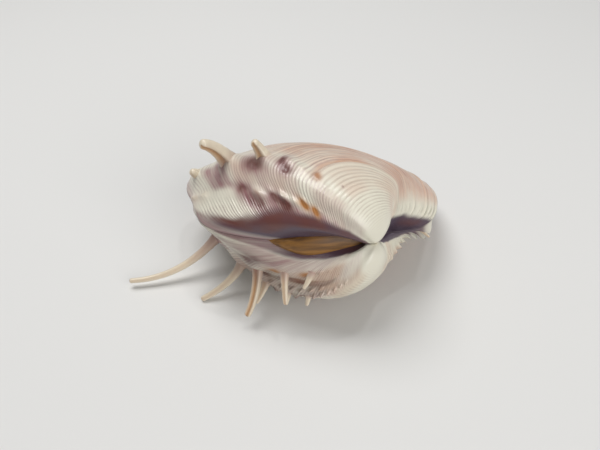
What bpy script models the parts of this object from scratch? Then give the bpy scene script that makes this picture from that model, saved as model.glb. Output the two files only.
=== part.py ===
"""Venus clam shell: a closed pair of spiny valves and their ligament, lying on the right valve.

Each valve is drawn the way it grew. The margin is a flat closed outline that runs through the
beak. A smaller copy of it, turned about an axis through the beak, is the margin at an earlier age,
and the row of all those copies is the outside of the valve. In the shell's own frame +X points to
the anterior end, +Y to the ventral margin and +Z out of the left valve. Sizes are in metres.
"""

import bpy
import bmesh
import math
from mathutils import Matrix, Vector

# Margin of one valve, from the beak past the anterior, ventral and posterior ends
MARGIN = [
    (-0.0003, 0.0008),
    (0.0071, 0.0017),
    (0.0134, 0.0067),
    (0.0174, 0.0146),
    (0.0131, 0.0209),
    (0.0038, 0.0267),
    (-0.0062, 0.0286),
    (-0.0149, 0.0256),
    (-0.0164, 0.0181),
    (-0.0167, 0.0109),
    (-0.0104, 0.0047),
]

# Growth: how fast the margin shrinks per radian of turn, how the axis of the turn leans, and the
# turn at which the beak ends
SHRINK_PER_RADIAN = 0.97
AXIS_LEAN = math.radians(17.3)
OLDEST_TURN = 3.0

# Growth steps on the outside
STEP_COUNT = 14
STEP_RISE = 0.018
STEP_RUN = 0.03

# The two ridges that carry the spine rows, as fractions of the way round the margin
OUTER_ROW = 0.625
INNER_ROW = 0.735
RIDGE_WIDTH = 0.018
RIDGE_RISE = 0.00035

# Hollow of a valve
CAVITY_CENTRE = Vector((0.0, 0.0148, 0.0))
CAVITY_SCALE = Vector((0.905, 0.905, 0.86))
CAVITY_TURN = 1.35

# Facets round the margin, outside and inside
OUTER_FACETS = 60
CAVITY_FACETS = 30

# Joints between pieces: the gap between the two margins, and how much larger than a valve, as a
# share of its size, the room is that is cut for it out of the ligament
MARGIN_GAP = 0.0003
LIGAMENT_GAP = 0.02

# Edges sharper than this stay sharp when the pieces are shaded smooth
SHARP_ANGLE = math.radians(40)

# Ligament, an oval rod along the hinge line behind the beaks
LIGAMENT_FRONT = Vector((-0.0004, 0.0004, 0.0))
LIGAMENT_BACK = Vector((-0.0100, 0.0039, 0.0))
LIGAMENT_HEIGHT = 0.0019
LIGAMENT_WIDTH = 0.0026

# Rest pose: roll about the length, pitch of the length, then heading on the floor
REST_ROLL = math.radians(-13.2)
REST_PITCH = math.radians(11.5)
REST_HEADING = math.radians(20.6)

# Spines: turn and margin fraction of the root, then the tip in the shell's frame, how far the
# middle is bowed from the straight line, and the thickness at the root and at the tip
LEFT_SPINES = [
    (0.12, 0.650, (-0.0157, 0.0208, 0.0034), (0, 0.0002, 0.0001), 0.0021, 0.0010),
    (0.35, 0.628, (-0.0157, 0.0152, 0.0088), (0, 0.0003, 0.0006), 0.0023, 0.0013),
    (0.62, 0.612, (-0.0108, 0.0110, 0.0098), (0, 0.0002, 0.0003), 0.0019, 0.0010),
]
RIGHT_SPINES = [
    (0.26, 0.655, (-0.0248, 0.0195, -0.0104), (0.0004, -0.0008, -0.0013), 0.0015, 0.0008),
    (0.45, 0.675, (-0.0168, 0.0130, -0.0111), (0.0007, -0.0004, -0.0002), 0.0015, 0.0008),
    (0.68, 0.665, (-0.0115, 0.0076, -0.0095), (0, -0.0001, -0.0002), 0.0012, 0.0006),
    (0.90, 0.660, (-0.0086, 0.0052, -0.0089), (0, 0, -0.0001), 0.0010, 0.0006),
    (1.11, 0.655, (-0.0070, 0.0027, -0.0079), (0, -0.0001, -0.0001), 0.0008, 0.0005),
    (0.48, 0.741, (-0.0132, 0.0061, -0.0100), (0.0002, -0.0003, -0.0004), 0.0014, 0.0009),
    (0.66, 0.791, (-0.0100, 0.0022, -0.0068), (-0.0001, -0.0001, -0.0003), 0.0011, 0.0006),
    (0.96, 0.796, (-0.0083, 0.0011, -0.0045), (0, -0.0001, -0.0001), 0.0009, 0.0005),
    (0.16, 0.112, (0.0091, 0.0022, -0.0013), (0.0001, 0.0001, -0.0001), 0.0008, 0.0004),
]

# Worn stumps of spines on the left valve: turn and margin fraction, height and width
LEFT_STUMPS = [
    (0.80, 0.597, 0.0006, 0.0017),
    (0.06, 0.720, 0.0006, 0.0016),
    (0.53, 0.724, 0.0006, 0.0016),
    (0.75, 0.719, 0.0006, 0.0013),
]
SPINE_ROOT_DEPTH = 0.0007


def clear_scene():
    for obj in list(bpy.data.objects):
        bpy.data.objects.remove(obj, do_unlink=True)


def new_collection(name):
    collection = bpy.data.collections.new(name)
    bpy.context.scene.collection.children.link(collection)
    return collection


def new_material(name, colour, roughness):
    material = bpy.data.materials.new(name)
    material.use_nodes = True
    shader = material.node_tree.nodes["Principled BSDF"]
    shader.inputs["Base Color"].default_value = (*colour, 1.0)
    shader.inputs["Roughness"].default_value = roughness
    return material


def margin_knots():
    """The fraction of the way round at which each margin point lies."""
    knots = [0.0]
    for index, point in enumerate(MARGIN):
        after = MARGIN[(index + 1) % len(MARGIN)]
        knots.append(knots[-1] + math.sqrt(math.dist(point, after)))
    return [knot / knots[-1] for knot in knots]


KNOTS = margin_knots()


def margin_point(fraction):
    """A point of the smooth closed curve through the margin points."""
    fraction %= 1.0
    count = len(MARGIN)
    index = max(i for i in range(count) if KNOTS[i] <= fraction)
    knots = []
    points = []
    for step in (-1, 0, 1, 2):
        lap, wrapped = divmod(index + step, count)
        knots.append(KNOTS[wrapped] + lap)
        points.append(Vector(MARGIN[wrapped]))
    slopes = [(points[i + 1] - points[i]) / (knots[i + 1] - knots[i]) for i in range(3)]
    start = slopes[0] + slopes[1] - (points[2] - points[0]) / (knots[2] - knots[0])
    end = slopes[1] + slopes[2] - (points[3] - points[1]) / (knots[3] - knots[1])
    span = knots[2] - knots[1]
    u = (fraction - knots[1]) / span
    blend = u * u * (3 - 2 * u)
    return (
        points[1].lerp(points[2], blend)
        + start * (span * u * (1 - u) ** 2)
        - end * (span * u * u * (1 - u))
    )


def ridge_rise(fraction):
    rise = 0.0
    for row in (OUTER_ROW, INNER_ROW):
        rise += RIDGE_RISE * math.exp(-(((fraction - row) / RIDGE_WIDTH) ** 2))
    return rise


def margin_outline(count):
    """The margin as points in the plane between the valves, with the two ridges standing out."""
    outline = []
    for index in range(count):
        fraction = index / count
        point = margin_point(fraction)
        along = margin_point(fraction + 0.002) - margin_point(fraction - 0.002)
        outward = Vector((along.y, -along.x)).normalized()
        outline.append((point + outward * ridge_rise(fraction)).to_3d())
    return outline


def growth(turn):
    """The move that carries the margin back to its place at an earlier age."""
    axis = Vector((math.cos(AXIS_LEAN), 0.0, math.sin(AXIS_LEAN)))
    return Matrix.Rotation(turn, 4, axis) @ Matrix.Scale(math.exp(-SHRINK_PER_RADIAN * turn), 4)


def outer_turns():
    """Each growth step is two rings: the lip of the step and, just older, its foot."""
    turns = []
    for step in range(STEP_COUNT):
        lip = OLDEST_TURN * step / STEP_COUNT
        turns.append((lip, 0.0))
        turns.append((lip + STEP_RUN, STEP_RISE))
    turns.append((OLDEST_TURN, STEP_RISE))
    return turns


def ring_place(turn, inset, centre):
    """The move from the margin to one ring: drawn in towards its centre, then grown back."""
    shift = Matrix.Translation(centre)
    return growth(turn) @ shift @ Matrix.Scale(1 - inset, 4) @ shift.inverted()


def grow_body(name, outline, turns, collection):
    """A closed solid: the outline as a flat base, then one extruded ring for each turn."""
    mesh = bmesh.new()
    bmesh.ops.create_circle(mesh, cap_ends=False, radius=0.01, segments=len(outline))
    for vert, place in zip(mesh.verts, outline):
        vert.co = place
    base_edges = list(mesh.edges)
    edges = base_edges
    centre = sum(outline, Vector()) / len(outline)
    before = ring_place(*turns[0], centre)
    for turn, inset in turns[1:]:
        extruded = bmesh.ops.extrude_edge_only(mesh, edges=edges)["geom"]
        verts = [item for item in extruded if isinstance(item, bmesh.types.BMVert)]
        edges = [item for item in extruded if isinstance(item, bmesh.types.BMEdge)]
        after = ring_place(turn, inset, centre)
        bmesh.ops.transform(mesh, matrix=after @ before.inverted(), verts=verts)
        before = after
    bmesh.ops.contextual_create(mesh, geom=base_edges)
    bmesh.ops.contextual_create(mesh, geom=edges)
    bmesh.ops.recalc_face_normals(mesh, faces=mesh.faces)
    return object_from(mesh, name, collection)


def object_from(mesh, name, collection):
    data = bpy.data.meshes.new(name)
    mesh.to_mesh(data)
    mesh.free()
    obj = bpy.data.objects.new(name, data)
    collection.objects.link(obj)
    return obj


def surface_point(turn, fraction, side):
    point = growth(turn) @ margin_point(fraction).to_3d()
    return Vector((point.x, point.y, point.z * side))


def surface_outward(turn, fraction, side):
    along = surface_point(turn, fraction + 0.002, 1) - surface_point(turn, fraction - 0.002, 1)
    older = surface_point(turn + 0.01, fraction, 1) - surface_point(turn - 0.01, fraction, 1)
    outward = along.cross(older).normalized()
    return Vector((outward.x, outward.y, outward.z * side))


def spine(name, side, turn, fraction, tip, bow, root_width, tip_width, collection):
    """One spine: a tapered, bowed rod from inside the wall of the valve to its tip."""
    foot = surface_point(turn, fraction, side)
    root = foot - surface_outward(turn, fraction, side) * SPINE_ROOT_DEPTH
    tip = Vector(tip)
    middle = foot.lerp(tip, 0.5) + Vector(bow)
    data = bpy.data.curves.new(name, "CURVE")
    data.dimensions = "3D"
    data.bevel_depth = 0.5
    data.bevel_resolution = 1
    data.use_fill_caps = True
    data.resolution_u = 3
    line = data.splines.new("BEZIER")
    line.bezier_points.add(2)
    middle_width = (root_width + tip_width) / 2
    widths = (root_width, middle_width, tip_width)
    for place, width, point in zip((root, middle, tip), widths, line.bezier_points):
        point.co = place
        point.radius = width
        point.handle_left_type = "AUTO"
        point.handle_right_type = "AUTO"
    rod = bpy.data.objects.new(name + "_line", data)
    collection.objects.link(rod)
    rod.hide_render = True
    graph = bpy.context.evaluated_depsgraph_get()
    solid = bpy.data.meshes.new_from_object(rod.evaluated_get(graph))
    bpy.data.objects.remove(rod, do_unlink=True)
    mesh = bmesh.new()
    mesh.from_mesh(solid)
    bmesh.ops.remove_doubles(mesh, verts=mesh.verts, dist=0.00001)
    bmesh.ops.recalc_face_normals(mesh, faces=mesh.faces)
    bpy.data.meshes.remove(solid)
    return as_cutter(object_from(mesh, name, collection))


def as_cutter(obj):
    obj.hide_render = True
    obj.display_type = "WIRE"
    return obj


def combine(obj, other, operation):
    modifier = obj.modifiers.new(other.name, "BOOLEAN")
    modifier.operation = operation
    modifier.solver = "EXACT"
    modifier.object = other


def half_space(name, collection):
    """A block that fills everything below the margin plane of the left valve."""
    mesh = bmesh.new()
    bmesh.ops.create_cube(mesh, size=0.08)
    bmesh.ops.translate(mesh, verts=mesh.verts, vec=(0, 0, MARGIN_GAP / 2 - 0.04))
    return as_cutter(object_from(mesh, name, collection))


def cavity(name, collection):
    """The hollow of a valve, drawn from the same margin and reaching out past its flat rim."""
    outline = [margin_point(index / CAVITY_FACETS).to_3d() for index in range(CAVITY_FACETS)]
    turns = [(CAVITY_TURN * step / 8, 0.0) for step in range(9)]
    obj = grow_body(name, outline, turns, collection)
    mesh = bmesh.new()
    mesh.from_mesh(obj.data)
    for vert in mesh.verts:
        offset = vert.co - CAVITY_CENTRE
        vert.co = CAVITY_CENTRE + offset * CAVITY_SCALE
    rim = [vert for vert in mesh.verts if abs(vert.co.z) < 1e-7]
    bmesh.ops.translate(mesh, verts=rim, vec=(0, 0, -0.0004))
    mesh.to_mesh(obj.data)
    mesh.free()
    return as_cutter(obj)


def apply_modifiers(obj):
    graph = bpy.context.evaluated_depsgraph_get()
    solid = bpy.data.meshes.new_from_object(obj.evaluated_get(graph))
    obj.modifiers.clear()
    obj.data = solid
    solid.shade_smooth()
    solid.set_sharp_from_angle(angle=SHARP_ANGLE)


def mirror_through_margin(obj):
    obj.data.transform(Matrix.Scale(-1, 4, (0, 0, 1)))
    obj.data.flip_normals()


def stump(turn, fraction, height, width):
    """A worn stump, as a spine that stands straight up from the valve."""
    tip = surface_point(turn, fraction, 1) + surface_outward(turn, fraction, 1) * height
    return (turn, fraction, tip, (0, 0, 0), width, width * 0.7)


def valve(name, side, spines, material, pieces, cutters):
    """One valve: the grown body, hollowed and cut flat at the margin, with its spines fused on."""
    outline = margin_outline(OUTER_FACETS)
    body = grow_body(name, outline, outer_turns(), pieces)
    hollow = cavity(name + "_hollow", cutters)
    below = half_space(name + "_below", cutters)
    if side < 0:
        for obj in (body, hollow, below):
            mirror_through_margin(obj)
    for index, (turn, fraction, tip, bow, root_width, tip_width) in enumerate(spines):
        rod = spine(
            f"{name}_spine_{index + 1}", side, turn, fraction, tip, bow, root_width, tip_width, cutters
        )
        combine(body, rod, "UNION")
    combine(body, hollow, "DIFFERENCE")
    combine(body, below, "DIFFERENCE")
    body.data.materials.append(material)
    apply_modifiers(body)
    return body


def ligament(material, pieces, cutters):
    """The ligament: an oval rod that fills the groove behind the beaks and clears both valves."""
    along = LIGAMENT_BACK - LIGAMENT_FRONT
    mesh = bmesh.new()
    bmesh.ops.create_uvsphere(mesh, u_segments=16, v_segments=10, radius=0.5)
    size = Matrix.Diagonal((LIGAMENT_HEIGHT, LIGAMENT_WIDTH, along.length, 1))
    turn = along.to_track_quat("Z", "X").to_matrix().to_4x4()
    middle = Matrix.Translation((LIGAMENT_FRONT + LIGAMENT_BACK) / 2)
    bmesh.ops.transform(mesh, matrix=middle @ turn @ size, verts=mesh.verts)
    body = object_from(mesh, "ligament", pieces)
    outline = margin_outline(OUTER_FACETS)
    turns = [(OLDEST_TURN * step / 16, 0.0) for step in range(17)]
    for side in (1, -1):
        room = as_cutter(grow_body(f"ligament_room_{side + 2}", outline, turns, cutters))
        grow = Matrix.Translation(CAVITY_CENTRE) @ Matrix.Scale(1 + LIGAMENT_GAP, 4)
        room.data.transform(grow @ Matrix.Translation(-CAVITY_CENTRE))
        room.data.transform(Matrix.Translation((0, 0, -0.0002)))
        if side < 0:
            mirror_through_margin(room)
        combine(body, room, "DIFFERENCE")
    body.data.materials.append(material)
    apply_modifiers(body)
    return body


def rest(pieces):
    """Lays the whole shell down in its rest pose, with its lowest point on the floor."""
    turn = (
        Matrix.Rotation(REST_HEADING, 4, "Z")
        @ Matrix.Rotation(REST_PITCH, 4, "Y")
        @ Matrix.Rotation(REST_ROLL, 4, "X")
    )
    for obj in pieces.objects:
        obj.data.transform(turn)
    corners = [vert.co for obj in pieces.objects for vert in obj.data.vertices]
    low = [min(corner[axis] for corner in corners) for axis in range(3)]
    high = [max(corner[axis] for corner in corners) for axis in range(3)]
    middle = Vector(((low[0] + high[0]) / 2, (low[1] + high[1]) / 2, low[2]))
    for obj in pieces.objects:
        obj.data.transform(Matrix.Translation(-middle))


def main():
    clear_scene()
    pieces = new_collection("venus_clam_shell")
    cutters = new_collection("cutters")
    shell = new_material("shell", (0.72, 0.62, 0.56), 0.3)
    horn = new_material("ligament", (0.36, 0.2, 0.06), 0.4)
    stumps = [stump(*place) for place in LEFT_STUMPS]
    valve("left_valve", 1, LEFT_SPINES + stumps, shell, pieces, cutters)
    valve("right_valve", -1, RIGHT_SPINES, shell, pieces, cutters)
    ligament(horn, pieces, cutters)
    rest(pieces)


main()
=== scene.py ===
"""Looks of the venus clam shell: two ribbed, spiny, glossy valves and the brown ligament between them.

Each valve is drawn the way it grew. Its margin is a closed outline through the beak. A smaller copy
of the margin, turned about an axis through the beak, is the margin at an earlier age, and the row of
those copies is the outside of the valve. The age of a point is that turn, 0 at the margin, and its
place around is the fraction of the way round the margin, from the beak past the anterior, ventral
and posterior ends. Going around, the lunule ends near 0.11, the ribbed disc near 0.60 and the two
spine rows near 0.75, and the dark escutcheon begins near 0.77. Sizes are in metres where no comment
says millimetres.
"""

import math

import bmesh
import bpy
import numpy as np
from mathutils import Matrix, Vector


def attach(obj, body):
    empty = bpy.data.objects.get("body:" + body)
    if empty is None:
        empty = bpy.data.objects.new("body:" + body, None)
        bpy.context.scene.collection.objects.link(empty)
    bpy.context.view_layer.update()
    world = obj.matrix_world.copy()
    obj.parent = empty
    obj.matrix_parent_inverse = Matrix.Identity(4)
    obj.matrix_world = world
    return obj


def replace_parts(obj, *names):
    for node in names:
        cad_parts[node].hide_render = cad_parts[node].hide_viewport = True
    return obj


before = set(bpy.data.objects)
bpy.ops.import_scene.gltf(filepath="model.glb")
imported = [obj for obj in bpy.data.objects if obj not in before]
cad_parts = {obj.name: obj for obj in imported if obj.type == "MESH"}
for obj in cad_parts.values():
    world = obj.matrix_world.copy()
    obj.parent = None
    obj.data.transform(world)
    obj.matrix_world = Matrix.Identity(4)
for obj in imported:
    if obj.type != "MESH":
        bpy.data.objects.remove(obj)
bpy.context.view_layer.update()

MM = 0.001

# The side of a valve, which is also the sign of its height in the shell's own frame
LEFT = 1
RIGHT = -1

# Margin of one valve, in mm, from the beak past the anterior, ventral and posterior ends
MARGIN = [
    (-0.3, 0.8), (7.1, 1.7), (13.4, 6.7), (17.4, 14.6), (13.1, 20.9), (3.8, 26.7),
    (-6.2, 28.6), (-14.9, 25.6), (-16.4, 18.1), (-16.7, 10.9), (-10.4, 4.7),
]

# Growth: how fast the margin shrinks per radian of turn, and how the axis of the turn leans
SHRINK_PER_RADIAN = 0.97
AXIS_LEAN = math.radians(17.3)

# Ages at which the rounded cap of the beak begins and ends
CAP_AGE = 2.35
OLDEST_AGE = 2.95

# How many mm of the outside one radian of growth adds at the margin
MM_PER_RADIAN = 39.0

# Ribs: radians of growth from one to the next late in life, how many more while the shell was young,
# how many fine striae lie to a rib, and the step of the table that counts the ribs
RIB_TURN = 0.032
EARLY_RIB_EXTRA = 0.023
STRIAE_PER_RIB = 1.5
RIB_TABLE_STEP = 0.001

# Radians of growth from one erect edge by the lunule to the next
LAMELLA_TURN = 0.14

# Rings and segments of the outside, and how nearly the rounded beak closes before its last ring
SEGMENTS = 240
RINGS_PER_RIB = 6
CAP_RINGS = 12
CAP_CLOSING = 0.985

# Hollow of a valve, and its rings up the wall and over the roof
CAVITY_CENTRE = Vector((0.0, 0.0148, 0.0))
CAVITY_SCALE = Matrix.Diagonal((0.905, 0.905, 0.86, 1.0))
CAVITY_AGE = 1.35
CAVITY_RINGS = 10
ROOF_RINGS = 5
ROOF_TURN = 0.02
ROOF_CLOSING = 0.98

# How far each valve stands off the plane between the two
MARGIN_LIFT = 0.00006

# The two ridges that carry the spine rows: their places around, their width and their rise in mm
OUTER_ROW = 0.625
INNER_ROW = 0.735
RIDGE_WIDTH = 0.018
RIDGE_RISE = 0.35

# Rest pose: roll about the length, pitch of the length, heading on the floor, and the beak's place
REST_TURN = (
    Matrix.Rotation(math.radians(20.6), 4, "Z")
    @ Matrix.Rotation(math.radians(11.5), 4, "Y")
    @ Matrix.Rotation(math.radians(-13.2), 4, "X")
)
REST_PLACE = Matrix.Translation((0.0104365, -0.0106236, 0.0104676)) @ REST_TURN

# How far the hinge line bows up toward the beaks, and how far from the beaks the bow reaches on the
# left valve's side and on the right valve's
BEAK_RISE = np.array((0.134, 0.397, 0.908)) * MM
RISE_REACH = 0.0075
RISE_REACH_BELOW = 0.0046

# Spines of each valve: age and place around of the root, tip and bow of the middle in mm, the width at
# the root and at the tip in mm, and how deep the channel along the side that faces the hinge end is
SPINES = {
    LEFT: [
        (0.12, 0.650, (-15.7, 20.8, 3.4), (0.0, 0.2, 0.1), 2.3, 0.9, 0.15),
        (0.35, 0.628, (-15.7, 15.2, 8.8), (0.0, 0.3, 0.6), 2.3, 1.3, 0.50),
        (0.62, 0.612, (-10.8, 11.0, 9.8), (0.0, 0.2, 0.3), 1.9, 1.0, 0.40),
    ],
    RIGHT: [
        (0.26, 0.655, (-24.7, 19.5, -10.4), (0.4, -0.8, -1.3), 1.45, 0.72, 0.12),
        (0.45, 0.675, (-16.8, 13.0, -11.04), (0.7, -0.4, -0.2), 1.5, 0.8, 0.15),
        (0.68, 0.665, (-11.5, 7.6, -9.5), (0.0, -0.1, -0.2), 1.2, 0.6, 0.2),
        (0.90, 0.660, (-8.6, 5.2, -8.9), (0.0, 0.0, -0.1), 0.95, 0.6, 0.1),
        (1.11, 0.655, (-7.0, 2.7, -7.9), (0.0, -0.1, -0.1), 0.8, 0.5, 0.1),
        (0.48, 0.741, (-13.2, 6.1, -10.0), (0.2, -0.3, -0.4), 1.4, 0.9, 0.45),
        (0.66, 0.791, (-10.0, 2.2, -6.8), (-0.1, -0.1, -0.3), 1.05, 0.62, 0.25),
        (0.96, 0.796, (-8.3, 1.1, -4.5), (0.0, -0.1, -0.1), 0.9, 0.45, 0.1),
        (0.16, 0.112, (9.1, 2.2, -1.3), (0.1, 0.1, -0.1), 0.7, 0.3, 0.2),
    ],
}
SPINE_SEGMENTS = 28
SPINE_RINGS = 30
SPINE_TIP_RINGS = 6

# Where the channels of the left valve's spines face, in the shell's own frame
CHANNEL_FACING = (-0.70, -0.68, -0.19)

# Raised marks on the spine rows of each valve: age and place around of the middle, the two radii, and
# the height in mm on a valve of full size
KNOBS = {
    LEFT: [
        (0.80, 0.597, 0.070, 0.017, 0.85),
        (0.93, 0.600, 0.050, 0.015, 0.60),
        (1.07, 0.602, 0.042, 0.013, 0.45),
        (1.21, 0.606, 0.035, 0.011, 0.30),
        (0.03, 0.714, 0.030, 0.010, 0.50),
        (0.10, 0.722, 0.034, 0.011, 0.50),
        (0.53, 0.724, 0.052, 0.015, 0.55),
        (0.64, 0.712, 0.050, 0.014, 0.30),
        (0.75, 0.719, 0.038, 0.013, 0.85),
        (0.86, 0.725, 0.038, 0.014, 0.55),
        (0.97, 0.708, 0.036, 0.012, 0.45),
        (1.12, 0.722, 0.030, 0.010, 0.30),
    ],
    RIGHT: [
        (0.80, 0.642, 0.030, 0.010, 0.9),
        (1.00, 0.647, 0.030, 0.010, 1.6),
        (1.20, 0.652, 0.026, 0.010, 2.0),
        (1.29, 0.655, 0.024, 0.009, 2.1),
        (1.38, 0.657, 0.024, 0.009, 2.1),
        (1.47, 0.660, 0.024, 0.009, 2.0),
        (1.56, 0.662, 0.024, 0.009, 1.8),
        (1.65, 0.664, 0.024, 0.009, 1.4),
        (0.72, 0.690, 0.026, 0.010, 0.8),
        (0.82, 0.688, 0.026, 0.010, 1.0),
        (0.92, 0.690, 0.026, 0.010, 1.0),
        (1.02, 0.686, 0.026, 0.010, 1.1),
        (1.13, 0.688, 0.026, 0.010, 1.2),
        (1.25, 0.690, 0.026, 0.010, 1.1),
        (1.10, 0.790, 0.030, 0.009, 0.6),
        (1.25, 0.785, 0.030, 0.008, 0.5),
        (1.44, 0.725, 0.035, 0.012, 0.4),
    ],
}

# Hollows under the spines on the side that faces the hinge, in the same order, with depths in mm
PITS = {
    LEFT: [
        (0.59, 0.642, 0.055, 0.015, 0.40),
        (0.83, 0.627, 0.050, 0.013, 0.55),
        (0.75, 0.607, 0.030, 0.009, 0.20),
        (0.43, 0.720, 0.055, 0.016, 0.15),
        (0.46, 0.750, 0.055, 0.014, 0.15),
        (0.71, 0.744, 0.045, 0.012, 0.20),
        (0.95, 0.738, 0.035, 0.011, 0.20),
    ],
    RIGHT: [
        (0.40, 0.770, 0.05, 0.015, 0.3),
        (0.62, 0.745, 0.05, 0.014, 0.5),
    ],
}

# Brown and ochre spots of each valve, in the same order, with their strengths
BROWN_SPOTS = {
    LEFT: [
        (0.30, 0.654, 0.040, 0.012, 0.8),
        (0.57, 0.640, 0.072, 0.020, 1.6),
        (0.77, 0.606, 0.034, 0.014, 1.3),
        (0.83, 0.628, 0.046, 0.014, 1.5),
        (1.07, 0.594, 0.036, 0.010, 0.4),
        (0.42, 0.717, 0.048, 0.014, 1.5),
        (0.44, 0.737, 0.052, 0.017, 1.6),
        (0.49, 0.755, 0.058, 0.017, 1.7),
        (0.66, 0.733, 0.036, 0.017, 1.5),
        (0.74, 0.747, 0.052, 0.016, 1.7),
        (1.33, 0.560, 0.012, 0.003, 0.8),
    ],
    RIGHT: [
        (0.38, 0.770, 0.08, 0.030, 1.2),
        (0.36, 0.810, 0.10, 0.020, 0.6),
        (0.60, 0.752, 0.04, 0.014, 0.7),
        (1.44, 0.740, 0.012, 0.003, 0.9),
    ],
}
OCHRE_SPOTS = {
    LEFT: [
        (0.95, 0.722, 0.050, 0.021, 1.5),
        (1.07, 0.737, 0.050, 0.021, 1.5),
        (1.07, 0.594, 0.045, 0.012, 0.6),
        (0.07, 0.722, 0.060, 0.018, 0.22),
        (0.53, 0.728, 0.035, 0.012, 0.22),
        (0.87, 0.725, 0.030, 0.012, 0.20),
    ],
    RIGHT: [
        (0.62, 0.780, 0.06, 0.018, 1.2),
        (0.92, 0.785, 0.07, 0.016, 0.9),
        (1.35, 0.690, 0.20, 0.020, 0.35),
    ],
}

# Growth steps: age, and rise of the lip in mm on a valve of full size
GROWTH_STEPS = [
    (0.05, 0.16), (0.16, 0.20), (0.27, 0.08), (0.40, 0.14), (0.53, 0.09), (0.64, 0.12),
    (0.77, 0.15), (0.90, 0.16), (1.05, 0.48), (1.20, 0.09), (1.36, 0.22), (1.62, 0.10), (1.9, 0.05),
]

# Ligament stations in mm: middle along the hinge and out from it, half width, half height
LIGAMENT_STATIONS = [
    (0.4, 0.0, 0.30, 0.25), (-0.9, 0.42, 1.05, 0.70), (-2.4, 0.95, 1.62, 0.95), (-4.1, 1.55, 1.86, 1.04),
    (-6.1, 2.25, 1.70, 1.02), (-7.8, 2.95, 1.30, 0.90), (-9.2, 3.75, 0.82, 0.66), (-10.4, 4.75, 0.42, 0.40),
    (-11.4, 6.10, 0.10, 0.12),
]

# Rings and segments of the ligament, how many rings to each side one is smoothed over, its least half
# width and height in mm, and how far it sags toward the lower valve for its half width
LIGAMENT_STEPS = 96
LIGAMENT_SEGMENTS = 48
LIGAMENT_SMOOTHING = 9
LIGAMENT_THINNEST = 0.02
LIGAMENT_SAG = 0.28

# Lamps: place, width, and power in watts, all turned to the middle of the shell
LAMPS = [
    ("key", (-0.07, 0.09, 0.31), 0.22, 0.72),
    ("glint", (0.08, 0.04, 0.32), 0.025, 0.08),
    ("fill", (0.20, -0.28, 0.17), 0.30, 0.80),
]
LAMP_TARGET = Vector((0.0, 0.0, 0.01))
SKY_STRENGTH = 0.28

# Camera: its place, what is to its right and ahead of it, and its lens in mm
CAMERA_PLACE = (0.00192, -0.05935, 0.05698)
CAMERA_RIGHT = Vector((0.9981, -0.0406, -0.0463))
CAMERA_FORWARD = Vector((0.0001, 0.7524, -0.6588)).normalized()
CAMERA_LENS = 35.4

# Half the side of the floor
FLOOR_HALF = 1.5


def step(value, low, high):
    """A smooth rise from 0 at low to 1 at high; low may be the larger of the two."""
    x = np.clip((value - low) / (high - low), 0.0, 1.0)
    return x * x * (3 - 2 * x)


def band(value, low, high, soft):
    """1 between low and high, with soft edges."""
    return step(value, low - soft, low + soft) * step(value, high + soft, high - soft)


def bump(value, middle, width):
    return np.exp(-(((value - middle) / width) ** 2))


def spots(age, around, places):
    """Round marks: age and place around of each middle, its two radii and its strength."""
    total = np.zeros_like(age)
    for at_age, at_around, wide_age, wide_around, strength in places:
        total = total + strength * bump(age, at_age, wide_age) * bump(around, at_around, wide_around)
    return total


def extrude_loop(mesh, edges):
    """Extrudes a loop of edges and gives the new points and edges."""
    extruded = bmesh.ops.extrude_edge_only(mesh, edges=edges)["geom"]
    verts = [item for item in extruded if isinstance(item, bmesh.types.BMVert)]
    return verts, [item for item in extruded if isinstance(item, bmesh.types.BMEdge)]


def close_loop(mesh, verts):
    """Draws a loop of points together at its middle."""
    middle = sum((vert.co for vert in verts), Vector()) / len(verts)
    bmesh.ops.pointmerge(mesh, verts=verts, merge_co=middle)


def mesh_data(mesh, name):
    data = bpy.data.meshes.new(name)
    mesh.to_mesh(data)
    mesh.free()
    return data


def add_object(name, data):
    obj = bpy.data.objects.new(name, data)
    bpy.context.scene.collection.objects.link(obj)
    return obj


def margin_knots():
    knots = [0.0]
    for index, point in enumerate(MARGIN):
        after = MARGIN[(index + 1) % len(MARGIN)]
        knots.append(knots[-1] + math.sqrt(math.dist(point, after)))
    return [knot / knots[-1] for knot in knots]


KNOTS = margin_knots()


def margin_point(fraction):
    """A point of the smooth closed curve through the margin points, in metres."""
    fraction %= 1.0
    count = len(MARGIN)
    index = max(i for i in range(count) if KNOTS[i] <= fraction)
    knots = []
    points = []
    for place in (-1, 0, 1, 2):
        lap, wrapped = divmod(index + place, count)
        knots.append(KNOTS[wrapped] + lap)
        points.append(Vector(MARGIN[wrapped]) * MM)
    slopes = [(points[i + 1] - points[i]) / (knots[i + 1] - knots[i]) for i in range(3)]
    start = slopes[0] + slopes[1] - (points[2] - points[0]) / (knots[2] - knots[0])
    end = slopes[1] + slopes[2] - (points[3] - points[1]) / (knots[3] - knots[1])
    span = knots[2] - knots[1]
    u = (fraction - knots[1]) / span
    return (
        points[1].lerp(points[2], u * u * (3 - 2 * u))
        + start * (span * u * (1 - u) ** 2)
        - end * (span * u * u * (1 - u))
    ).to_3d()


def growth(age):
    """The move that carries the margin back to its place at an earlier age."""
    axis = Vector((math.cos(AXIS_LEAN), 0.0, math.sin(AXIS_LEAN)))
    return Matrix.Rotation(age, 4, axis) @ Matrix.Scale(math.exp(-SHRINK_PER_RADIAN * age), 4)


def rib_table():
    """Ages, and how many ribs lie between each and the margin."""
    ages = np.linspace(0.0, 3.2, 3201)
    turns = RIB_TURN + EARLY_RIB_EXTRA * step(ages, 0.6, 1.1)
    counts = np.concatenate([[0.0], np.cumsum(RIB_TABLE_STEP / (0.5 * (turns[1:] + turns[:-1])))])
    return ages, counts


RIB_AGES, RIB_COUNTS = rib_table()


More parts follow.
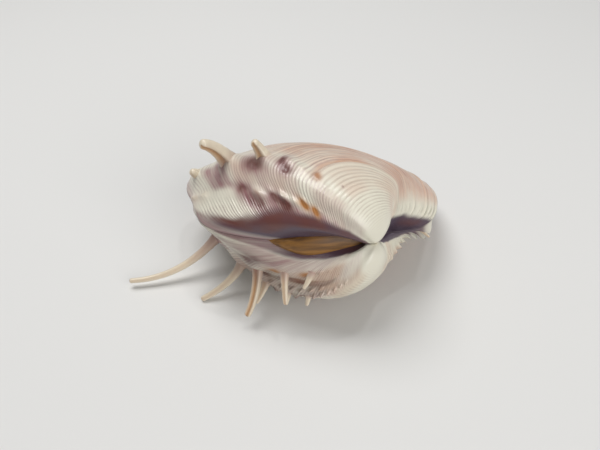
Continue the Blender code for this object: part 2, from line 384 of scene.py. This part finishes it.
def around_places():
    """Where the segments lie: closest together across the spine rows and by the lunule."""
    places = np.linspace(0.0, 1.0, 2001)
    weight = 1.0 + 1.1 * band(places, 0.57, 0.81, 0.02) + 0.5 * band(places, 0.02, 0.22, 0.03)
    reached = np.concatenate([[0.0], np.cumsum(0.5 * (weight[1:] + weight[:-1]))])
    wanted = np.linspace(0.0, reached[-1], SEGMENTS + 1)[:-1]
    return np.interp(wanted, reached, places)


def ring_place(age, inset, centre):
    shift = Matrix.Translation(centre)
    return growth(age) @ shift @ Matrix.Scale(1 - inset, 4) @ shift.inverted()


def outer_places(centre):
    """Age and move of each ring of the outside, rib by rib and then over the rounded beak."""
    cap_count = float(np.interp(CAP_AGE, RIB_AGES, RIB_COUNTS))
    rings = int(cap_count * RINGS_PER_RIB)
    ages = np.interp(np.arange(rings + 1) / RINGS_PER_RIB, RIB_COUNTS, RIB_AGES)
    places = [(age, ring_place(age, 0.0, centre)) for age in ages]
    last = ages[-1]
    for index in range(1, CAP_RINGS + 1):
        turn = 0.5 * math.pi * index / CAP_RINGS
        age = last + (OLDEST_AGE - last) * math.sin(turn)
        places.append((age, ring_place(age, 1 - math.cos(turn * CAP_CLOSING), centre)))
    return places


def inner_places(centre):
    """The same for the hollow: across the rim, up the wall, and in to the middle of its roof."""
    shift = Matrix.Translation(CAVITY_CENTRE)
    shrink = shift @ CAVITY_SCALE @ shift.inverted()
    places = [(0.0, shrink)]
    for index in range(1, CAVITY_RINGS + 1):
        age = CAVITY_AGE * index / CAVITY_RINGS
        places.append((age, shrink @ ring_place(age, 0.0, centre)))
    for index in range(1, ROOF_RINGS + 1):
        age = CAVITY_AGE + ROOF_TURN * index
        inset = 1 - math.cos(0.5 * math.pi * index / ROOF_RINGS * ROOF_CLOSING)
        places.append((age, shrink @ ring_place(age, inset, centre)))
    return places


def extrude_rings(mesh, edges, places, inside):
    """Extrudes the margin once for each place and closes the last ring to a point."""
    layers = mesh.verts.layers.float
    before = Matrix()
    for age, after in places:
        verts, edges = extrude_loop(mesh, edges)
        bmesh.ops.transform(mesh, matrix=after @ before.inverted(), verts=verts)
        for vert in verts:
            vert[layers["inside"]] = inside
            vert[layers["age"]] = age
        before = after
    close_loop(mesh, verts)


def grow_valve():
    """The bare valve without its relief, in the shell's own frame, as a left valve."""
    mesh = bmesh.new()
    for name in ("age", "around", "inside"):
        mesh.verts.layers.float.new(name)
    around_layer = mesh.verts.layers.float["around"]
    bmesh.ops.create_circle(mesh, cap_ends=False, radius=0.01, segments=SEGMENTS)
    for vert, place in zip(mesh.verts, around_places()):
        vert.co = margin_point(place)
        vert[around_layer] = place
    margin = list(mesh.edges)
    centre = sum((vert.co for vert in mesh.verts), Vector()) / SEGMENTS
    extrude_rings(mesh, margin, outer_places(centre)[1:], 0.0)
    extrude_rings(mesh, margin, inner_places(centre), 1.0)
    bmesh.ops.recalc_face_normals(mesh, faces=mesh.faces)
    return mesh


def rib_relief(age, around, side):
    """Height of the ribs, the fine striae and the growth steps, in mm."""
    size = np.exp(-SHRINK_PER_RADIAN * age)
    count = np.interp(age, RIB_AGES, RIB_COUNTS)
    turns = 1 / np.gradient(RIB_COUNTS, RIB_AGES)
    pitch = MM_PER_RADIAN * size * np.interp(age, RIB_AGES, turns)
    edge = shaded_edge(age, side)
    chance = np.random.default_rng(11)
    uneven = chance.uniform(0.3, 1.0, 200).take(count.astype(int), mode="clip")
    uneven_fine = chance.uniform(0.4, 1.0, 300).take((STRIAE_PER_RIB * count).astype(int), mode="clip")
    rib = (0.5 - 0.5 * np.cos(2 * math.pi * count)) ** 0.7
    stria = (0.5 - 0.5 * np.cos(2 * math.pi * STRIAE_PER_RIB * count)) ** 0.7

    # Ribs of the disc, lower by the lunule and worn away on the beak
    height = (0.09 + 0.05 * step(age, 0.95, 1.15)) * band(around, 0.14, 0.595, 0.03) * uneven
    height = height * (1 - 0.5 * step(around, 0.28, 0.20) * step(age, 1.1, 0.95)) * step(age, 2.3, 1.6)
    relief = pitch * height * rib

    # The right valve's disc is a little flatter
    if side == RIGHT:
        relief = relief - spots(age, around, [(0.54, 0.44, 0.45, 0.13, 0.38)])

    # Striae of the posterior slope, of the disc between its ribs, and of the lunule
    rows = step(around, 0.60, 0.64) * step(around, 0.80, 0.74) * step(age, 0.6, 0.9)
    rows = rows + band(around, 0.745, edge, 0.01) * step(age, 0.8, 0.6)
    slope = step(around, 0.60, 0.64) * (1 - 0.75 * step(around, edge, edge + 0.02)) * step(around, 1.0, 0.9)
    height = (0.03 + 0.08 * rows) * slope * step(age, 2.2, 1.5)
    height = height + 0.05 * band(around, 0.22, 0.61, 0.03) * step(age, 1.1, 0.98)
    relief = relief + pitch * stria * (height * uneven_fine + 0.05 * band(around, 0.03, 0.13, 0.02))

    # Each growth step is a raised lip with a hollow on the side of the margin
    reach = band(around, 0.12, 0.60, 0.03)
    for at_age, rise in GROWTH_STEPS:
        lip = bump(age, at_age + 0.012, 0.012) - 0.8 * bump(age, at_age - 0.014, 0.014)
        relief = relief + rise * size * lip * reach
    return relief


def lamella_relief(age, around, side):
    """Erect edges of the ribs where they end by the lunule, taller on the right valve, in mm."""
    size = np.exp(-SHRINK_PER_RADIAN * age)
    phase = age / LAMELLA_TURN + 0.3 * side
    saw = 1 - (phase - np.floor(phase))
    uneven = np.random.default_rng(5).uniform(0.6, 1.0, 60).take(phase.astype(int), mode="clip")
    crest = saw ** 1.4 * uneven * band(age, 0.06, 1.5, 0.02)
    if side == RIGHT:
        middle = 0.125 + 0.08 * step(age, 0.3, 0.9)
        return 2.0 * size * crest * bump(around, middle, 0.024)
    return 0.35 * size * crest * bump(around, 0.160, 0.018)


def spine_feet(side):
    """The knob from which each spine rises, wider spines from higher knobs."""
    return [(root[0] - 0.01, root[1] + 0.002, 0.075, 0.022, 0.38 * root[4]) for root in SPINES[side]]


def row_relief(age, around, side):
    """The two ridges, with the knobs and the pits of the spine rows, in mm."""
    ridges = bump(around, OUTER_ROW, RIDGE_WIDTH) + bump(around, INNER_ROW, RIDGE_WIDTH)
    relief = RIDGE_RISE * ridges * (0.12 + 0.88 * step(age, 1.15, 0.75))
    relief = relief + spots(age, around, spine_feet(side) + KNOBS[side]) - spots(age, around, PITS[side])
    if side == RIGHT:
        relief = relief - 0.5 * furrows(age, around)
    return relief * np.exp(-SHRINK_PER_RADIAN * age)


def furrows(age, around):
    """The two brown furrows that run between the spine rows of the right valve."""
    middle = np.interp(age, (0.59, 0.81, 1.27), (0.715, 0.740, 0.715))
    upper = bump(around, middle, 0.013) * band(age, 0.50, 1.40, 0.08)
    return upper + 0.7 * bump(around, 0.645, 0.007) * band(age, 0.70, 1.35, 0.06)


def shaded_edge(age, side):
    """Place around at which the pale posterior slope gives way to the dark escutcheon."""
    if side == LEFT:
        ages = (0.0, 0.05, 0.20, 0.36, 0.48, 0.67, 0.86, 1.3, 1.6)
        return np.interp(age, ages, (0.745, 0.775, 0.802, 0.795, 0.780, 0.763, 0.762, 0.757, 0.752))
    edge = 0.866 - 0.045 * np.exp(-age / 0.10)
    return edge + 0.008 * step(age, 0.5, 0.9) - 0.02 * step(age, 1.2, 1.7)


def wander(age, around, seed):
    """A slow uneven drift between about -1 and 1 that keeps the edges of the stains irregular."""
    chance = np.random.default_rng(seed)
    total = np.zeros_like(age)
    for pace in (1.0, 1.7, 2.9, 4.6):
        turn, phase = chance.uniform(-1.0, 1.0, 2)
        place = 14 * age * turn + 45 * around * (1 - abs(turn) / 2)
        total = total + np.sin(pace * place + 9 * phase) / pace
    return 0.5 * total


def disc_stains(age, around, side):
    """The rose clouds and the salmon bands of the ribbed disc, and the rose between the spine rows."""
    rose = 0.95 * step(age, 1.12, 0.98) * band(around, 0.19, 0.61, 0.03) + 0.45 * band(age, 1.1, 1.5, 0.08)
    rose = rose + 0.55 * bump(around, 0.30, 0.05) * band(age, 1.5, 2.1, 0.2)
    rose = rose * (1 - 0.95 * bump(around, 0.590, 0.022) * band(age, 0.62, 1.6, 0.08))
    rose = rose + 0.50 * band(around, 0.640, 0.712, 0.014) * band(age, 0.38, 0.95, 0.05)
    rose = rose * (1 - 0.8 * spots(age, around, [(0.38, 0.60, 0.12, 0.03, 1.0)]))
    salmon = 0.35 * bump(around, 0.265, 0.05) * band(age, 0.12, 0.95, 0.10)
    salmon = salmon + 0.75 * band(around, 0.36, 0.585, 0.03) * bump(age, 1.025, 0.022)
    salmon = salmon + 0.55 * band(around, 0.40, 0.56, 0.04) * bump(age, 0.70, 0.09)
    salmon = salmon + 0.35 * band(around, 0.30, 0.56, 0.05) * bump(age, 0.33, 0.08)
    if side == LEFT:
        salmon = salmon + spots(age, around, [(1.07, 0.592, 0.05, 0.014, 0.9)])
    return {"rose": rose, "salmon": salmon}


def slope_stains_and_shade(age, around, side):
    """The mauve, violet, brown and ochre of the margin, the spine rows, the escutcheon and the lunule, with
    a darker brown painted as shade between the spine rows of the right valve.
    """
    edge = shaded_edge(age, side)
    soft = 0.020 - 0.006 * step(age, 0.25, 0.5) if side == LEFT else 0.008
    escutcheon = step(around, edge - soft, edge + 1.5 * soft)
    mauve = 0.75 * step(age, 0.09, 0.0) * step(around, 0.20, 0.35) * step(around, 0.76, 0.70)
    mauve = mauve + 0.95 * band(around, 0.646, 0.714, 0.012) * band(age, 0.17, 0.34, 0.03)
    mauve = mauve + 0.25 * band(around, 0.646, 0.712, 0.014) * band(age, 0.41, 0.98, 0.05)
    mauve = mauve + 0.30 * band(around, 0.62, 0.80, 0.03) * band(age, 1.1, 2.0, 0.1)
    brown = 0.95 * escutcheon * step(around - edge, 0.075, 0.050)
    brown = brown + 0.85 * bump(around, 0.098, 0.020) * step(age, 0.9, 0.3)
    ochre = spots(age, around, OCHRE_SPOTS[side])
    if side == LEFT:
        aged = step(age, 0.01, 0.13)
        violet = np.maximum(step(around, 0.135, 0.112), escutcheon * (0.35 + 0.65 * aged))
        mauve = mauve + 0.9 * escutcheon * (1 - aged)
        mauve = mauve + 0.7 * step(around, edge - 0.045, edge) * step(age, 0.35, 0.55) * step(age, 1.6, 1.1)
        halos = [
            (at_age, at_around, 1.7 * wide_age, 1.6 * wide_around, 0.6 * strength)
            for at_age, at_around, wide_age, wide_around, strength in BROWN_SPOTS[side]
        ]
        mauve = mauve + spots(age, around, halos)
        brown = brown * (0.25 + 0.75 * step(age, 0.06, 0.20))
        brown = brown + 0.5 * bump(around, edge + 0.006, 0.012) * step(age, 0.4, 0.2)
    else:
        aged = step(age, 0.08, 0.40)
        violet = np.maximum(step(around, 0.112, 0.095), escutcheon * (0.40 + 0.60 * aged))
        mauve = mauve + 0.8 * escutcheon * (1 - aged)
        mauve = mauve + 0.6 * band(around, 0.80, 0.86, 0.01) * step(age, 0.75, 0.3) * step(age, 0.05, 0.2)
        mauve = mauve + 0.45 * band(around, 0.75, edge, 0.02) * band(age, 0.4, 1.1, 0.10)
        brown = brown * 0.45 + 1.3 * furrows(age, around)
        # Painted shade: a darker brown between the spine rows of the right valve, the lower one, which
        # faces down
        brown = brown + 0.40 * band(around, 0.635, 0.750, 0.012) * band(age, 0.45, 1.30, 0.10)
        ochre = ochre + 0.25 * band(around, 0.56, 0.68, 0.03) * band(age, 1.4, 2.0, 0.1)
        ochre = ochre + 0.30 * band(around, 0.72, 0.80, 0.02) * band(age, 0.8, 1.5, 0.10)
    brown = brown + spots(age, around, BROWN_SPOTS[side])
    return {"mauve": mauve, "violet": violet, "brown": brown, "ochre": ochre}


def groove_strengths(age, around, side):
    """How strongly the grooves between the fine striae and between the ribs show, in the bump and in the
    colour. The colour in the rib grooves is painted shade; in the stria grooves it is the shell's own mauve
    lines with painted shade.
    """
    edge = shaded_edge(age, side)
    if side == LEFT:
        stria = 0.70 * band(around, 0.600, 0.708, 0.012) + band(around, 0.762, edge + 0.012, 0.008)
        stria = stria + band(around, 0.70, 0.775, 0.01) * (0.20 + 0.45 * step(age, 0.85, 1.1))
        stria = stria + 0.45 * step(around, edge, edge + 0.01) * step(age, 0.8, 0.2)
    else:
        stria = band(around, 0.62, edge, 0.01)
        stria = stria + 0.9 * step(around, edge, edge + 0.01) * step(age, 0.8, 0.2)
    stria = stria + 0.9 * band(around, 0.22, 0.625, 0.02) * step(age, 1.12, 0.98)
    stria = stria + 0.5 * band(around, 0.02, 0.12, 0.01)
    rib = band(around, 0.13, 0.60, 0.02) * (0.60 + 0.35 * step(age, 1.0, 1.15)) * step(age, 2.3, 1.6)
    rib = rib * (1 - 0.7 * step(around, 0.28, 0.20) * step(age, 1.1, 0.95))
    return {"stria": stria * step(age, 1.9, 1.2), "rib": rib}


def valve_marks(age, around, side):
    """How strongly each stain, the painted shade between the right valve's spine rows and each kind of
    groove shows, from 0 to 1, by name.
    """
    age, around = age + 0.014 * wander(age, around, 3), around + 0.004 * wander(age, around, 4)
    marks = {}
    for group in (disc_stains, slope_stains_and_shade, groove_strengths):
        marks.update(group(age, around, side))
    return {name: np.clip(value, 0.0, 1.0) for name, value in marks.items()}


def add_values(data, name, values):
    attribute = data.attributes.get(name) or data.attributes.new(name, "FLOAT", "POINT")
    attribute.data.foreach_set("value", np.asarray(values, np.float32))


def read_values(data, name):
    values = np.empty(len(data.vertices), np.float32)
    data.attributes[name].data.foreach_get("value", values)
    return values.astype(float)


def vertex_vectors(data, key):
    values = np.empty(len(data.vertices) * 3, np.float32)
    data.vertices.foreach_get(key, values)
    return values.reshape(-1, 3).astype(float)


def set_points(data, points):
    data.vertices.foreach_set("co", points.astype(np.float32).ravel())
    data.update()


def beak_rise(points):
    """The bow of the hinge line at each point of the shell's own frame."""
    deep = points[:, 2] * np.where(points[:, 2] < 0, RISE_REACH / RISE_REACH_BELOW, 1.0)
    reach = points[:, 0] ** 2 + points[:, 1] ** 2 + deep ** 2
    return np.exp(-reach / RISE_REACH ** 2)[:, None] * BEAK_RISE


def surface_point(age, around, side):
    point = growth(age) @ margin_point(around)
    return Vector((point.x, point.y, point.z * side))


def surface_outward(age, around, side):
    along = surface_point(age, around + 0.002, LEFT) - surface_point(age, around - 0.002, LEFT)
    older = surface_point(age + 0.01, around, LEFT) - surface_point(age - 0.01, around, LEFT)
    outward = along.cross(older).normalized()
    return Vector((outward.x, outward.y, outward.z * side))


def spine(mesh, side, root, layers):
    """One spine: a tapered, channelled horn that flares out into the valve at its root."""
    age, around, tip, bow, root_width, tip_width, channel = root
    outward = surface_outward(age, around, side)
    foot = surface_point(age, around, side) - outward * (0.2 + 0.4 * root_width) * MM
    tip = Vector(tip) * MM
    middle = foot.lerp(tip, 0.5) + Vector(bow) * MM
    control = middle * 2 - (foot + tip) / 2
    inner = Vector((CHANNEL_FACING[0], CHANNEL_FACING[1], CHANNEL_FACING[2] * side))
    length = (tip - foot).length
    circle = bmesh.ops.create_circle(mesh, cap_ends=False, radius=1.0, segments=SPINE_SEGMENTS)["verts"]
    for vert in circle:
        vert[layers["angle"]] = math.atan2(vert.co.y, vert.co.x)
    ring = list(circle)
    edges = list({edge for vert in circle for edge in vert.link_edges})

    # Each station: place along, size, and how far a ring of the rounded tip lies beyond the end
    stations = [(index / SPINE_RINGS, 1.0, 0.0) for index in range(SPINE_RINGS + 1)]
    for index in range(1, SPINE_TIP_RINGS + 1):
        turn = 0.5 * math.pi * index / SPINE_TIP_RINGS
        stations.append((1.0, max(0.04, math.cos(turn)), 0.32 * math.sin(turn)))
    for index, (u, shrink, beyond) in enumerate(stations):
        if index:
            ring, edges = extrude_loop(mesh, edges)
        place = foot * (1 - u) ** 2 + control * (2 * u * (1 - u)) + tip * u * u
        ahead = ((control - foot) * (1 - u) + (tip - control) * u).normalized()
        place = place + ahead * (beyond * tip_width * MM)

        # A taper with a flare at the root and low growth rings 1 mm apart
        width = root_width + (tip_width - root_width) * u ** 0.8
        flare = 1.0 + 0.75 * math.exp(-u * length / (0.55 * root_width * MM))
        wave = 1.0 + 0.012 * math.sin(u * length / (0.16 * MM))
        radius = 0.5 * width * MM * flare * shrink * wave
        to_inner = (inner - ahead * inner.dot(ahead)).normalized()
        across = ahead.cross(to_inner)
        turn = Matrix((to_inner, across, ahead)).transposed().to_4x4()
        move = Matrix.Translation(place) @ turn @ Matrix.Scale(radius, 4)

        # The channel deepens away from the root, between two low lips
        depth = channel * (0.25 + 0.75 * step(u, 0.02, 0.35))
        for vert in ring:
            angle = vert[layers["angle"]]
            hollow = math.exp(-((angle / 0.55) ** 2)) - 0.25 * bump(abs(angle), 0.95, 0.25)
            vert.co = move @ Vector((math.cos(angle) * (1.0 - depth * hollow), 0.92 * math.sin(angle), 0.0))
            vert[layers["age"]] = age
            vert[layers["around"]] = around
            vert[layers["along"]] = max(0.02, u)
            vert[layers["channel"]] = math.exp(-((angle / 0.6) ** 2)) * min(1.0, channel * 2.5)
    for loop in (ring, circle):
        close_loop(mesh, loop)


def spines_of(side):
    mesh = bmesh.new()
    names = ("age", "around", "along", "channel", "angle")
    layers = {name: mesh.verts.layers.float.new(name) for name in names}
    for root in SPINES[side]:
        spine(mesh, side, root, layers)
    bmesh.ops.recalc_face_normals(mesh, faces=mesh.faces)
    return mesh


def carve(data, side):
    """Raises the relief on the outside, mirrors a right valve and bows the hinge line."""
    age = read_values(data, "age")
    around = read_values(data, "around")
    relief = rib_relief(age, around, side) + lamella_relief(age, around, side)
    relief = relief + row_relief(age, around, side)
    relief = relief * (1 - read_values(data, "inside")) * step(age, 0.0, 0.012)
    points = vertex_vectors(data, "co") + vertex_vectors(data, "normal") * (relief * MM)[:, None]
    points[:, 2] = side * (np.maximum(points[:, 2], 0.0) + MARGIN_LIFT)
    set_points(data, points + beak_rise(points))


def paint(data, side):
    """Stores at each point what the shell's material reads. The inside and the spines stay unstained."""
    age = read_values(data, "age")
    around = read_values(data, "around")
    add_values(data, "rib_count", np.interp(age, RIB_AGES, RIB_COUNTS))
    on_valve = (read_values(data, "along") <= 0.0) * (1 - read_values(data, "inside"))
    for name, value in valve_marks(age, around, side).items():
        add_values(data, name, value * on_valve)


def make_valve(name, side, material):
    """One valve: its bare form, then the relief, the spines and the stains."""
    data = mesh_data(grow_valve(), name)
    carve(data, side)
    mesh = bmesh.new()
    mesh.from_mesh(data)
    if side == RIGHT:
        bmesh.ops.reverse_faces(mesh, faces=mesh.faces)
    horns = mesh_data(spines_of(side), "spines")
    for layer in ("along", "channel"):
        mesh.verts.layers.float.new(layer)
    mesh.from_mesh(horns)
    bpy.data.meshes.remove(horns)
    bmesh.ops.transform(mesh, matrix=REST_PLACE, verts=mesh.verts)
    mesh.to_mesh(data)
    mesh.free()
    paint(data, side)
    obj = add_object(name, data)
    data.materials.append(material)
    data.shade_smooth()
    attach(obj, "root")
    return obj


def colour(code):
    """An sRGB hex code as linear values for a socket."""
    parts = [int(code[i : i + 2], 16) / 255 for i in (1, 3, 5)]
    linear = [p / 12.92 if p <= 0.04045 else ((p + 0.055) / 1.055) ** 2.4 for p in parts]
    return (*linear, 1.0)


def fill(tree, node, inputs):
    """Sets or links a node's sockets. The inputs are a tuple in the node's own order or a dict by
    socket, each a value or another node's output."""
    for socket, value in inputs.items() if isinstance(inputs, dict) else enumerate(inputs):
        if isinstance(value, bpy.types.NodeSocket):
            tree.links.new(value, node.inputs[socket])
        else:
            node.inputs[socket].default_value = value


def add(tree, kind, inputs=(), out=0, **settings):
    """Adds a node with its settings and links, and gives one of its outputs."""
    node = tree.nodes.new(kind)
    for name, value in settings.items():
        setattr(node, name, value)
    fill(tree, node, inputs)
    return node.outputs[out]


# Sockets of a Mix node that mixes colours, which go by number because three kinds share their names
MIX_FACTOR, MIX_LOW, MIX_HIGH, MIX_RESULT = 0, 6, 7, 2


def new_material(name):
    material = bpy.data.materials.new(name)
    material.use_nodes = True
    tree = material.node_tree
    return material, tree, tree.nodes["Principled BSDF"]


def polished_shell():
    """Aragonite of a venus shell, laid down rib by rib and cleaned: hard like unglazed china under a
    thin polish, so the ribs catch small soft glints over pastel stains."""
    material, tree, shader = new_material("glossy_aragonite_shell")
    names = (
        "rib_count", "around", "along", "channel", "rib", "stria",
        "rose", "salmon", "mauve", "violet", "brown", "ochre",
    )
    marks = {name: add(tree, "ShaderNodeAttribute", out="Fac", attribute_name=name) for name in names}
    count = marks["rib_count"]
    coordinates = add(tree, "ShaderNodeTexCoord", out="Object")

    # Streaks run along the ribs, about one rib wide and a ninth of the way round long
    across = add(tree, "ShaderNodeMath", (count, 0.9), operation="MULTIPLY")
    along = add(tree, "ShaderNodeMath", (marks["around"], 9.0), operation="MULTIPLY")
    place = add(tree, "ShaderNodeCombineXYZ", (across, along))
    streaks = {"Vector": place, "Scale": 1.0, "Detail": 3.0, "Roughness": 0.6}
    streaks = add(tree, "ShaderNodeTexNoise", streaks)

    # Clouds are about 4 mm across, and the striae waver over about 3 mm
    clouds = add(tree, "ShaderNodeTexNoise", {"Vector": coordinates, "Scale": 260.0, "Detail": 3.0})
    waver = add(tree, "ShaderNodeTexNoise", {"Vector": coordinates, "Scale": 350.0, "Detail": 1.0})
    cloud_share = add(tree, "ShaderNodeMapRange", (clouds, 0.38, 0.62, 0.45, 1.0))
    streak_share = add(tree, "ShaderNodeMapRange", (streaks, 0.35, 0.65, 0.5, 1.0))
    stria_share = add(tree, "ShaderNodeMapRange", (streaks, 0.35, 0.65, 0.3, 1.0))

    # Grooves between the ribs, and between the fine striae. They sink the bump, and the darker colour laid
    # in them is painted shade, in the striae over the shell's own mauve lines
    shift = add(tree, "ShaderNodeMath", (waver, 0.9), operation="MULTIPLY")
    stria_count = add(tree, "ShaderNodeMath", (count, shift), operation="ADD")
    grooves = {}
    for name, counted, waves, low, share in (
        ("rib", count, 1.0, -0.2, streak_share),
        ("stria", stria_count, STRIAE_PER_RIB, -0.6, stria_share),
    ):
        turn = add(tree, "ShaderNodeMath", (counted, 2 * math.pi * waves), operation="MULTIPLY")
        wave = add(tree, "ShaderNodeMath", (turn,), operation="COSINE")
        groove = add(tree, "ShaderNodeMapRange", (wave, low, 1.0, 0.0, 1.0))
        for factor in (marks[name], share):
            groove = add(tree, "ShaderNodeMath", (groove, factor), operation="MULTIPLY")
        grooves[name] = groove

    # Spines: stained at the root, cream along the back, orange-brown in the channel
    root = add(tree, "ShaderNodeMapRange", (marks["along"], 0.0, 0.45, 1.0, 0.0))
    on_spine = add(tree, "ShaderNodeMapRange", (marks["along"], 0.0, 0.02, 0.0, 1.0))
    in_channel = {MIX_FACTOR: root, MIX_LOW: colour("#A87238"), MIX_HIGH: colour("#6E4A4C")}
    in_channel = add(tree, "ShaderNodeMix", in_channel, out=MIX_RESULT, data_type="RGBA")

    # What each stain or painted shade follows, its share and its colour, over the cream of the valve and of
    # the spines
    valve_stains_and_shades = (
        (marks["rose"], cloud_share, colour("#D0B09B")),
        (marks["salmon"], streak_share, colour("#BC835F")),
        # Painted shade: grey-brown in the grooves between the ribs
        (grooves["rib"], 0.45, colour("#947A6C")),
        # Mauve of the fine striae: the shell's own lines, with painted shade in their grooves
        (grooves["stria"], 0.55, colour("#8C686A")),
        (marks["mauve"], streak_share, colour("#9C7072")),
        (marks["violet"], 1.0, colour("#4C3B4A")),
        # Brown stains, with painted shade between the spine rows of the right valve
        (marks["brown"], cloud_share, colour("#62332B")),
        (marks["ochre"], 1.0, colour("#AC7238")),
    )
    spine_stains = (
        (root, 0.8, colour("#A27670")),
        (marks["channel"], 0.85, in_channel),
    )
    tints = []
    for cream, stains in (("#DDD8C6", valve_stains_and_shades), ("#DACDB6", spine_stains)):
        tint = colour(cream)
        for mark, share, stain in stains:
            amount = add(tree, "ShaderNodeMath", (mark, share), operation="MULTIPLY")
            mixed = {MIX_FACTOR: amount, MIX_LOW: tint, MIX_HIGH: stain}
            tint = add(tree, "ShaderNodeMix", mixed, out=MIX_RESULT, data_type="RGBA")
        tints.append(tint)
    mixed = {MIX_FACTOR: on_spine, MIX_LOW: tints[0], MIX_HIGH: tints[1]}
    tint = add(tree, "ShaderNodeMix", mixed, out=MIX_RESULT, data_type="RGBA")

    stria_depth = add(tree, "ShaderNodeMath", (grooves["stria"], -1.0), operation="MULTIPLY")
    rib_depth = add(tree, "ShaderNodeMath", (grooves["rib"], -0.6), operation="MULTIPLY")
    height = add(tree, "ShaderNodeMath", (stria_depth, rib_depth), operation="ADD")
    bumps = add(tree, "ShaderNodeBump", {"Height": height, "Strength": 0.7, "Distance": 0.035 * MM})
    fill(tree, shader, {
        "Base Color": tint,
        "Normal": bumps,
        "Roughness": 0.44,
        "IOR": 1.6,
        "Coat Weight": 0.3,
        "Coat Roughness": 0.14,
    })
    return material


def ligament_horn():
    """Conchiolin, the brown horny protein of the ligament: dried and faintly layered, with a dull
    sheen on fibres about 7 mm long and 0.4 mm thick that run along the hinge."""
    material, tree, shader = new_material("dried_conchiolin_ligament")
    coordinates = add(tree, "ShaderNodeTexCoord", out="Object")
    turned = {"Vector": coordinates, "Rotation": (0.0, 0.0, math.radians(-40)), "Scale": (150, 2600, 2600)}
    turned = add(tree, "ShaderNodeMapping", turned)
    fibres = add(tree, "ShaderNodeTexNoise", {"Vector": turned, "Scale": 1.0, "Detail": 4.0})
    share = add(tree, "ShaderNodeMapRange", (fibres, 0.3, 0.7, 0.0, 1.0))
    mixed = {MIX_FACTOR: share, MIX_LOW: colour("#5C3C18"), MIX_HIGH: colour("#95672A")}
    tint = add(tree, "ShaderNodeMix", mixed, out=MIX_RESULT, data_type="RGBA")
    bumps = add(tree, "ShaderNodeBump", {"Height": fibres, "Strength": 0.5, "Distance": 0.05 * MM})
    fill(tree, shader, {"Base Color": tint, "Normal": bumps, "Roughness": 0.48, "IOR": 1.54})
    return material


def matt_paper():
    """Pale matt paper: even and without gloss, so that only the shell draws the eye."""
    material, tree, shader = new_material("matt_pale_paper")
    fill(tree, shader, {"Base Color": colour("#DAD9D6"), "Roughness": 0.8})
    return material


def ligament_sections():
    """Middle along and across the hinge, half width and half height of each section, in mm."""
    wanted = np.linspace(0.0, len(LIGAMENT_STATIONS) - 1.0, LIGAMENT_STEPS + 1)
    columns = []
    for values in zip(*LIGAMENT_STATIONS):
        values = np.interp(wanted, range(len(values)), values)
        padded = np.pad(values, LIGAMENT_SMOOTHING, mode="reflect", reflect_type="odd")
        window = np.hanning(2 * LIGAMENT_SMOOTHING + 3)[1:-1]
        columns.append(np.convolve(padded, window / window.sum(), "valid"))
    sections = np.transpose(columns)
    sections[:, 2:] = np.maximum(sections[:, 2:], LIGAMENT_THINNEST)
    return sections


def make_ligament(material):
    """A swollen band along the hinge line that sags toward the lower valve."""
    sections = ligament_sections()
    mesh = bmesh.new()
    bmesh.ops.create_circle(mesh, cap_ends=False, radius=1.0, segments=LIGAMENT_SEGMENTS)
    first = list(mesh.verts)
    ring = first
    edges = list(mesh.edges)
    before = Matrix()
    for index, (along, out, half_width, half_height) in enumerate(sections):
        later = sections[min(index + 1, LIGAMENT_STEPS)]
        earlier = sections[max(index - 1, 0)]
        ahead = Vector((later[0] - earlier[0], later[1] - earlier[1], 0)).normalized()
        across = Vector((0, 0, 1))
        up = across.cross(ahead)
        turn = Matrix((across * half_width, up * half_height, ahead)).transposed().to_4x4()
        place = Vector((along, out, -LIGAMENT_SAG * half_width))
        after = Matrix.Scale(MM, 4) @ Matrix.Translation(place) @ turn
        if index:
            ring, edges = extrude_loop(mesh, edges)
        bmesh.ops.transform(mesh, matrix=after @ before.inverted(), verts=ring)
        before = after
    for loop in (first, ring):
        close_loop(mesh, loop)
    bmesh.ops.recalc_face_normals(mesh, faces=mesh.faces)
    data = mesh_data(mesh, "horny_ligament")
    points = vertex_vectors(data, "co")
    set_points(data, points + beak_rise(points))
    data.transform(REST_PLACE)
    obj = add_object("horny_ligament", data)
    data.materials.append(material)
    data.shade_smooth()
    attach(obj, "root")
    return obj


def make_floor():
    mesh = bmesh.new()
    bmesh.ops.create_grid(mesh, x_segments=1, y_segments=1, size=FLOOR_HALF)
    data = mesh_data(mesh, "floor")
    floor = add_object("floor", data)
    data.materials.append(matt_paper())


def light_studio():
    for name, place, size, power in LAMPS:
        data = bpy.data.lights.new(name, "AREA")
        data.shape = "DISK"
        data.size = size
        data.energy = power
        lamp = add_object(name, data)
        lamp.location = place
        lamp.rotation_euler = (LAMP_TARGET - Vector(place)).to_track_quat("-Z", "Y").to_euler()
    world = bpy.data.worlds.new("studio")
    world.use_nodes = True
    sky = world.node_tree.nodes["Background"]
    sky.inputs["Color"].default_value = colour("#E8EAEE")
    sky.inputs["Strength"].default_value = SKY_STRENGTH
    bpy.context.scene.world = world


def place_camera():
    """The camera looks down at the hinge side, as in the photograph."""
    data = bpy.data.cameras.new("camera")
    data.lens = CAMERA_LENS
    data.sensor_width = 36.0
    data.clip_start = 0.005
    camera = add_object("camera", data)
    right = (CAMERA_RIGHT - CAMERA_FORWARD * CAMERA_RIGHT.dot(CAMERA_FORWARD)).normalized()
    turn = Matrix((right, right.cross(CAMERA_FORWARD), -CAMERA_FORWARD)).transposed().to_4x4()
    camera.matrix_world = Matrix.Translation(CAMERA_PLACE) @ turn
    bpy.context.scene.camera = camera
    bpy.context.scene.view_settings.view_transform = "Standard"


shell = polished_shell()
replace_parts(make_valve("left_valve_shell", LEFT, shell), "left_valve")
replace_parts(make_valve("right_valve_shell", RIGHT, shell), "right_valve")
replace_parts(make_ligament(ligament_horn()), "ligament")
make_floor()
light_studio()
place_camera()
